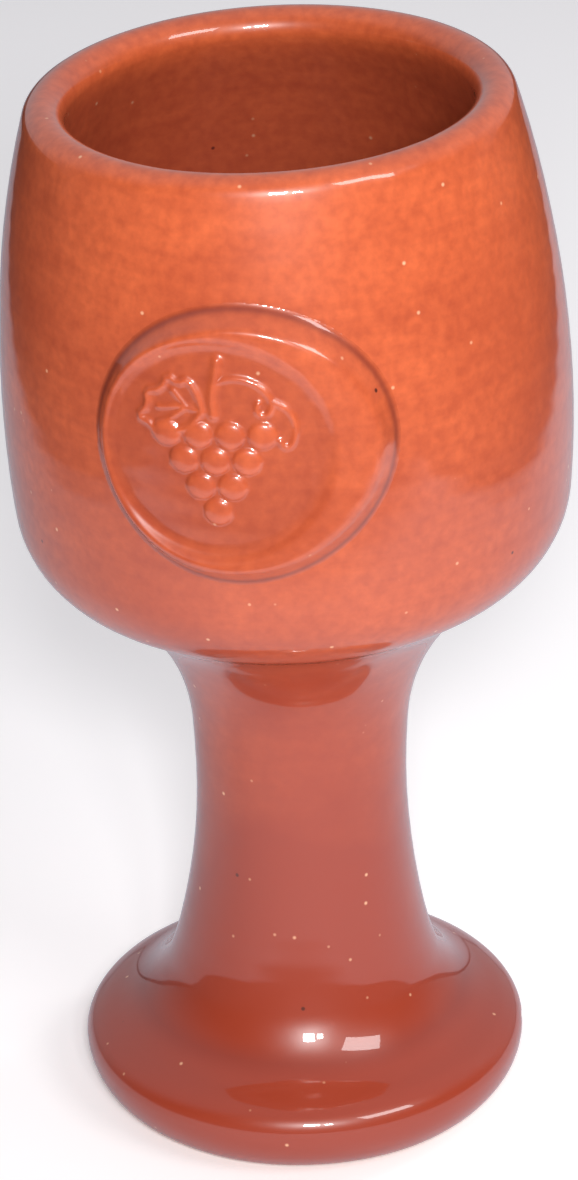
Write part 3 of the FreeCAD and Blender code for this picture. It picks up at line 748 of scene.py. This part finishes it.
def stamp_relief(place, grapes):
    """Height that the stamp leaves standing at a place measured from the stamp's middle."""
    seal = settings("seal")
    relief = 0.0
    for grape in grapes:
        gap = (place - grape).length / seal.berry_reach
        if gap < 1:
            relief = max(relief, 0.7 * MM * math.sqrt(1 - gap * gap))
    for stroke, width, height in (
        (LEAF, 0.45 * MM, 0.5 * MM),
        *((vein, 0.35 * MM, 0.3 * MM) for vein in VEINS),
        (STALK, 0.65 * MM, 0.6 * MM),
        *((tendril, 0.4 * MM, 0.45 * MM) for tendril in TENDRILS),
    ):
        distance = min(to_stroke(place, a, b) for a, b in zip(stroke, stroke[1:]))
        if distance < 3 * width:
            relief = max(relief, ridge(distance, width, height))
    return relief


# How far the pad's outline wanders from round, how far its edge sinks behind the wall's face, how far
# its back does, and the width of the step down into the stamp.
PAD_WANDER = 0.35 * MM
EDGE_SINK = 0.4 * MM
BACK_SINK = 1.2 * MM
STAMP_STEP = 2.6 * MM


def pad_height(place, grapes):
    """How far the pad's face stands off the glazed wall, and how much glaze pools there."""
    seal = settings("seal")
    turn = math.atan2(place.y, place.x)
    wander = PAD_WANDER * math.sin(2 * turn + 0.7) + 0.2 * MM * math.sin(3 * turn + 2.0)
    inset = seal.reach + wander - place.length
    if inset < -seal.fillet:
        return -EDGE_SINK, 0.0
    toe = 0.28 * seal.thick
    if inset < 0:
        share = 1 + inset / seal.fillet
        lift = toe * share * share - 0.04 * MM * (1 - share)
    else:
        lift = toe + (seal.thick - toe) * math.sin(min(1.0, inset / seal.edge) * math.pi / 2)
    stamp_place = place + Vector((seal.stamp_shift, 0))
    gap = stamp_place.length - seal.stamp_reach
    sunk = ease(0.5 - gap / STAMP_STEP)
    border = max(0.0, min(1.0, inset / max(inset + gap, 1 * MM)))
    lift += seal.crown * math.sin(math.pi * border) * ease(inset / seal.edge) * (1 - sunk)
    lift -= seal.stamp_depth * sunk * ease(inset / (2 * MM))
    relief = stamp_relief(stamp_place, grapes) * sunk
    pool_and_shade = 0.6 * math.exp(-(((inset + 0.3 * MM) / (0.5 * MM)) ** 2))
    pool_and_shade += 0.2 * sunk * max(0.0, 1 - relief / (0.35 * MM))
    return lift + relief, min(1.0, pool_and_shade)


def seal_on_wall(place, lift):
    """A point of the pad, laid on the bowl's side."""
    seal = settings("seal")
    coat = settings("coats").glaze
    bowl = BowlOutline()
    height = bowl.base + seal.height + place.y
    radius = bowl.wall_radius(height, coat)
    turn = math.asin(place.x / radius) - math.pi / 2 - seal.turn
    climb = math.asin((height - bowl.side.z) / (bowl.outer_side + coat))
    out = radius + lift * math.cos(climb)
    return Vector((out * math.cos(turn), out * math.sin(turn), height + lift * math.sin(climb)))


# ---------------------------------------------------------------------------------------------------------
# Operators: one for each piece, and one for the stage
# ---------------------------------------------------------------------------------------------------------


class CHALICE_OT_outer_glaze(bpy.types.Operator):
    """Dip the outside in glaze, from just inside the mouth down to the bare foot ring"""

    bl_idname = "chalice.outer_glaze"
    bl_label = "Outer glaze"

    def execute(self, context):
        coat = settings("coats").glaze
        low = settings("stem").glaze_line
        bowl = BowlOutline()
        wet = join(bowl.over_lip(coat), full_outside(coat, low))
        dry = join(bowl.over_lip(0), full_outside(0, low))
        bm = spun(wet + dry[::-1])
        layer = bm.verts.layers.float.new("pool_and_shade")
        seat = settings("stem")
        for vert in bm.verts:
            radius = math.hypot(vert.co.x, vert.co.y)
            crease = math.hypot(radius - seat.base, vert.co.z - seat.foot_top) / (1.8 * MM)
            inside = radius < bowl.lip.x and vert.co.z > bowl.floor.z
            # painted shade: inside the mouth the glaze is coloured darker, from just below the lip
            # downwards
            inside_shade = INSIDE_PAINTED_SHADE * ease((bowl.lip.z + 1 * MM - vert.co.z) / (6 * MM)) if inside else 0
            vert[layer] = max(0.55 * math.exp(-crease ** 2), inside_shade)
        settle(bm)
        finished("outer_glaze", bm, glazed_earthenware(), "glaze", "outer_glaze")
        return {"FINISHED"}


class CHALICE_OT_liner_glaze(bpy.types.Operator):
    """Pour the liner glaze inside the bowl"""

    bl_idname = "chalice.liner_glaze"
    bl_label = "Liner glaze"

    def execute(self, context):
        coat = settings("coats").glaze
        bowl = BowlOutline()
        wet = bowl.inside(coat, bowl.seam_angle)
        dry = bowl.inside(0, bowl.seam_angle)
        bm = spun(wet[::-1] + dry)
        layer = bm.verts.layers.float.new("pool_and_shade")
        for vert in bm.verts:
            # painted shade: the whole inside is coloured darker
            vert[layer] = INSIDE_PAINTED_SHADE
        settle(bm)
        finished("liner_glaze", bm, glazed_earthenware(), "glaze", "liner_glaze")
        return {"FINISHED"}


class CHALICE_OT_bowl(bpy.types.Operator):
    """Throw the clay bowl"""

    bl_idname = "chalice.bowl"
    bl_label = "Bowl"

    def execute(self, context):
        bowl = BowlOutline()
        inside = bowl.inside(0, bowl.seam_angle)
        outline = join(inside[::-1], bowl.over_lip(0), bowl.outside(0), [at(0, bowl.base)])
        bm = spun(outline)
        settle(bm)
        finished("bowl", bm, bare_earthenware(), "clay", "bowl")
        return {"FINISHED"}


class CHALICE_OT_stem(bpy.types.Operator):
    """Throw the hollow stem, with its pared neck and the coil round it"""

    bl_idname = "chalice.stem"
    bl_label = "Stem and neck coil"

    def execute(self, context):
        self.shaft()
        self.coil()
        return {"FINISHED"}

    def shaft(self):
        """The stem: pared straight under the coil, waisted outside, and hollow."""
        stem = settings("stem")
        slip = settings("coats").slip
        outline = StemOutline()
        top = settings("bowl").rise - slip
        floor = stem.foot_top + slip
        below = [place for place in outline.shaft(0) if place.z > floor]
        drop = stem.waist_height - floor
        spread = stem.bore_base - stem.bore
        flare = (spread ** 2 + drop ** 2) / (2 * spread)
        centre = at(stem.bore + flare, stem.waist_height)
        foot_angle = angle_between(centre, at(stem.bore_base, floor)) % 360
        bore = arc(centre, flare, foot_angle, 180, 3 * MM)
        outside = [at(stem.neck_reach, top), at(stem.neck_reach, stem.coil_height)] + below
        bm = spun(join(outside, [at(stem.base, floor)], bore, [at(stem.bore, top)]))
        settle(bm)
        finished("stem", bm, bare_earthenware(), "clay", "stem")

    def coil(self):
        """The coil of clay that fills the corner between stem and bowl."""
        neck = settings("stem").neck_reach
        outline = StemOutline()
        bowl = BowlOutline()
        under_bowl = arc(bowl.shoulder, bowl.shoulder_round, -90, outline.meeting)
        inner = [at(neck, settings("stem").coil_height), at(neck, bowl.base)]
        bm = spun(join(under_bowl, outline.neck(0), inner))
        settle(bm)
        finished("neck_coil", bm, bare_earthenware(), "clay", "neck_coil")


class CHALICE_OT_foot(bpy.types.Operator):
    """Turn the foot, open under the stem and hollowed inside its bare ring"""

    bl_idname = "chalice.foot"
    bl_label = "Foot"

    def execute(self, context):
        stem = settings("stem")
        outside = StemOutline().foot(0, 0)
        hollow = [
            at(stem.ring_inside, 0),
            at(stem.foot_hole, stem.recess),
            at(stem.foot_hole, stem.foot_top),
        ]
        bm = spun(join(outside, hollow))
        settle(bm)
        finished("foot", bm, bare_earthenware(), "clay", "foot", crease=60)
        return {"FINISHED"}


class CHALICE_OT_slips(bpy.types.Operator):
    """Brush joining slip between the stem and the bowl, and between the stem and the foot"""

    bl_idname = "chalice.slips"
    bl_label = "Joining slips"

    def execute(self, context):
        stem = settings("stem")
        slip = settings("coats").slip
        rise = settings("bowl").rise
        for name, inside, outside, low in (
            ("bowl_slip", stem.bore, stem.neck_reach, rise - slip),
            ("foot_slip", stem.bore_base, stem.base, stem.foot_top),
        ):
            ring = [at(inside, low), at(outside, low), at(outside, low + slip), at(inside, low + slip)]
            bm = spun(ring)
            settle(bm)
            finished(name, bm, fired_slip(), "slip", name)
        return {"FINISHED"}


class CHALICE_OT_seal(bpy.types.Operator):
    """Stick on the clay pad and press the stamp into it"""

    bl_idname = "chalice.seal"
    bl_label = "Stamped seal"

    def execute(self, context):
        seal = settings("seal")
        grapes = berries()
        reach = seal.reach + 0.7 * MM + seal.fillet
        steps = math.ceil(2 * reach / seal.grain)
        bm = bmesh.new()
        bmesh.ops.create_grid(bm, x_segments=steps, y_segments=steps, size=reach)
        outside = [face for face in bm.faces if face.calc_center_median().length > reach]
        bmesh.ops.delete(bm, geom=outside, context="FACES")
        bmesh.ops.solidify(bm, geom=bm.faces, thickness=1 * MM)
        bmesh.ops.recalc_face_normals(bm, faces=bm.faces)
        layer = bm.verts.layers.float.new("pool_and_shade")
        middle = sum(vert.co.z for vert in bm.verts) / len(bm.verts)
        for vert in bm.verts:
            place = Vector((vert.co.x, vert.co.y))
            if vert.co.z > middle:
                lift, vert[layer] = pad_height(place, grapes)
            else:
                lift = -BACK_SINK
            vert.co = settled(seal_on_wall(place, lift))
        finished("seal", bm, glazed_earthenware(), "glaze", "seal_pad", "seal_slip", crease=80)
        return {"FINISHED"}


# Half the width of the table, the hair's breadth between it and the foot, and the card's height over it.
TABLE_REACH = 3.0
TABLE_GAP = 0.05 * MM
CARD_LIFT = 0.5 * MM
# Width of the card's change from pale table to dim room, beside the chalice and in front of it.
SIDE_FADE = 0.03
FRONT_FADE = 0.08
# The point that every light faces, and where the camera stands, looks and rolls.
LIGHT_TARGET = (0, 0, 0.09)
CAMERA_PLACE = (0, -0.640, 0.4133)
CAMERA_TARGET = (-0.0005, 0, 0.0841)
CAMERA_VIEW = math.radians(14.06)
CAMERA_ROLL = -0.0308


class CHALICE_OT_stage(bpy.types.Operator):
    """Set the table, the soft lights and the camera"""

    bl_idname = "chalice.stage"
    bl_label = "Stage"

    def execute(self, context):
        context.scene.view_settings.view_transform = "Standard"
        self.table()
        self.card()
        self.room()
        self.lights()
        self.camera()
        return {"FINISHED"}

    def sheet(self, name, material, height):
        """A flat square that belongs to the stage."""
        bm = bmesh.new()
        bmesh.ops.create_grid(bm, x_segments=1, y_segments=1, size=TABLE_REACH)
        bmesh.ops.translate(bm, vec=(0, 0, height), verts=bm.verts)
        mesh = bpy.data.meshes.new(name)
        bm.to_mesh(mesh)
        bm.free()
        mesh.materials.append(material)
        sheet = bpy.data.objects.new(name, mesh)
        bpy.context.scene.collection.objects.link(sheet)
        return sheet

    def table(self):
        """A pale table that glows a little: painted light, an emission that keeps it near white."""
        tint = settings("colours")
        material, _, shader = fresh_material("matt white table")
        shader.inputs["Base Color"].default_value = tint.floor
        shader.inputs["Roughness"].default_value = 0.8
        shader.inputs["Specular IOR Level"].default_value = 0.1
        # painted light: the table gives off light of its own, though it is no lamp
        shader.inputs["Emission Color"].default_value = tint.floor
        shader.inputs["Emission Strength"].default_value = settings("stage").table_glow
        self.sheet("table", material, -TABLE_GAP)

    def card(self):
        """What the wet glaze sees below it: the pale table near the chalice, and a dim room beyond."""
        stage = settings("stage")
        tint = settings("colours")
        material, tree, shader = fresh_material("reflection card")
        place = add_node(tree, "ShaderNodeTexCoord").outputs["Object"]
        parts = add_node(tree, "ShaderNodeSeparateXYZ", {"Vector": place})
        side = add_node(tree, "ShaderNodeMath", {0: parts.outputs["X"]}, operation="ABSOLUTE")
        beside = add_node(
            tree, "ShaderNodeMapRange", {"Value": side.outputs["Value"]},
            From_Min=stage.clear_side, From_Max=stage.clear_side + SIDE_FADE,
        )
        before = add_node(
            tree, "ShaderNodeMapRange", {"Value": parts.outputs["Y"]},
            From_Min=-stage.clear_front, From_Max=-stage.clear_front - FRONT_FADE,
        )
        away = add_node(
            tree, "ShaderNodeMath", {0: beside.outputs["Result"], 1: before.outputs["Result"]},
            operation="MAXIMUM",
        )
        base = mix(tree, away.outputs["Value"], tint.near, tint.room)
        tree.links.new(base, shader.inputs["Base Color"])
        shader.inputs["Roughness"].default_value = 1.0
        shader.inputs["Specular IOR Level"].default_value = 0.0
        card = self.sheet("reflection_card", material, CARD_LIFT)
        card.visible_camera = False
        card.visible_diffuse = False
        card.visible_shadow = False
        card.visible_transmission = False

    def room(self):
        """Pale overhead and behind the chalice, and dim behind the viewer."""
        stage = settings("stage")
        world = bpy.data.worlds.new("pale room")
        world.use_nodes = True
        tree = world.node_tree
        background = tree.nodes["Background"]
        way = add_node(tree, "ShaderNodeTexCoord").outputs["Generated"]
        parts = add_node(tree, "ShaderNodeSeparateXYZ", {"Vector": way})
        tilt = add_node(
            tree, "ShaderNodeMath", {0: parts.outputs["Y"], 1: parts.outputs["Z"]}, operation="ADD"
        )
        share = add_node(
            tree, "ShaderNodeMapRange", {"Value": tilt.outputs["Value"]},
            From_Max=1.1, To_Min=stage.room_front, To_Max=stage.room_back, interpolation_type="SMOOTHSTEP",
        )
        tree.links.new(share.outputs["Result"], background.inputs["Strength"])
        background.inputs["Color"].default_value = settings("colours").air
        bpy.context.scene.world = world

    def lights(self):
        stage = settings("stage")
        for name, place, wide, tall, power in (
            ("window", stage.window_place, 0.36, 0.2, stage.window_power),
            ("side_window", stage.side_place, 0.1, 0.4, stage.side_power),
            ("lamp", stage.lamp_place, 0.09, 0.09, stage.lamp_power),
            ("second_lamp", stage.second_place, 0.05, 0.05, stage.second_power),
        ):
            lamp = bpy.data.lights.new(name, "AREA")
            lamp.shape = "RECTANGLE"
            lamp.size = wide
            lamp.size_y = tall
            lamp.energy = power
            holder = bpy.data.objects.new(name, lamp)
            holder.location = place
            aim = Vector(LIGHT_TARGET) - Vector(place)
            holder.rotation_euler = aim.to_track_quat("-Z", "Y").to_euler()
            # The side window fills in the shade but isn't mirrored in the glaze.
            holder.visible_glossy = name != "side_window"
            bpy.context.scene.collection.objects.link(holder)

    def camera(self):
        data = bpy.data.cameras.new("camera")
        data.angle = CAMERA_VIEW
        data.clip_start = 0.01
        place = Vector(CAMERA_PLACE)
        look = (Vector(CAMERA_TARGET) - place).to_track_quat("-Z", "Y").to_matrix().to_4x4()
        camera = bpy.data.objects.new("camera", data)
        camera.matrix_world = Matrix.Translation(place) @ look @ Matrix.Rotation(CAMERA_ROLL, 4, "Z")
        bpy.context.scene.collection.objects.link(camera)
        bpy.context.scene.camera = camera


OPERATORS = (
    CHALICE_OT_bowl,
    CHALICE_OT_stem,
    CHALICE_OT_foot,
    CHALICE_OT_slips,
    CHALICE_OT_seal,
    CHALICE_OT_liner_glaze,
    CHALICE_OT_outer_glaze,
    CHALICE_OT_stage,
)


class CHALICE_PT_panel(bpy.types.Panel):
    """Lists the chalice's sizes and pieces"""

    bl_idname = "CHALICE_PT_panel"
    bl_label = "Glazed Chalice"
    bl_space_type = "VIEW_3D"
    bl_region_type = "UI"
    bl_category = "Chalice"

    def draw(self, context):
        for operator in OPERATORS:
            self.layout.operator(operator.bl_idname)
        for name, group in PROPERTY_GROUPS.items():
            box = self.layout.box()
            box.label(text=group.__name__.replace("Chalice", ""))
            for prop in group.__annotations__:
                box.prop(getattr(context.scene, name), prop)


CLASSES = (*PROPERTY_GROUPS.values(), *OPERATORS, CHALICE_PT_panel)


def register():
    for cls in CLASSES:
        bpy.utils.register_class(cls)
    for name, group in PROPERTY_GROUPS.items():
        setattr(bpy.types.Scene, name, PointerProperty(type=group))


def unregister():
    for name in PROPERTY_GROUPS:
        delattr(bpy.types.Scene, name)
    for cls in reversed(CLASSES):
        bpy.utils.unregister_class(cls)


def main():
    register()
    for operator in OPERATORS:
        group, name = operator.bl_idname.split(".")
        getattr(getattr(bpy.ops, group), name)()


if __name__ == "__main__":
    main()
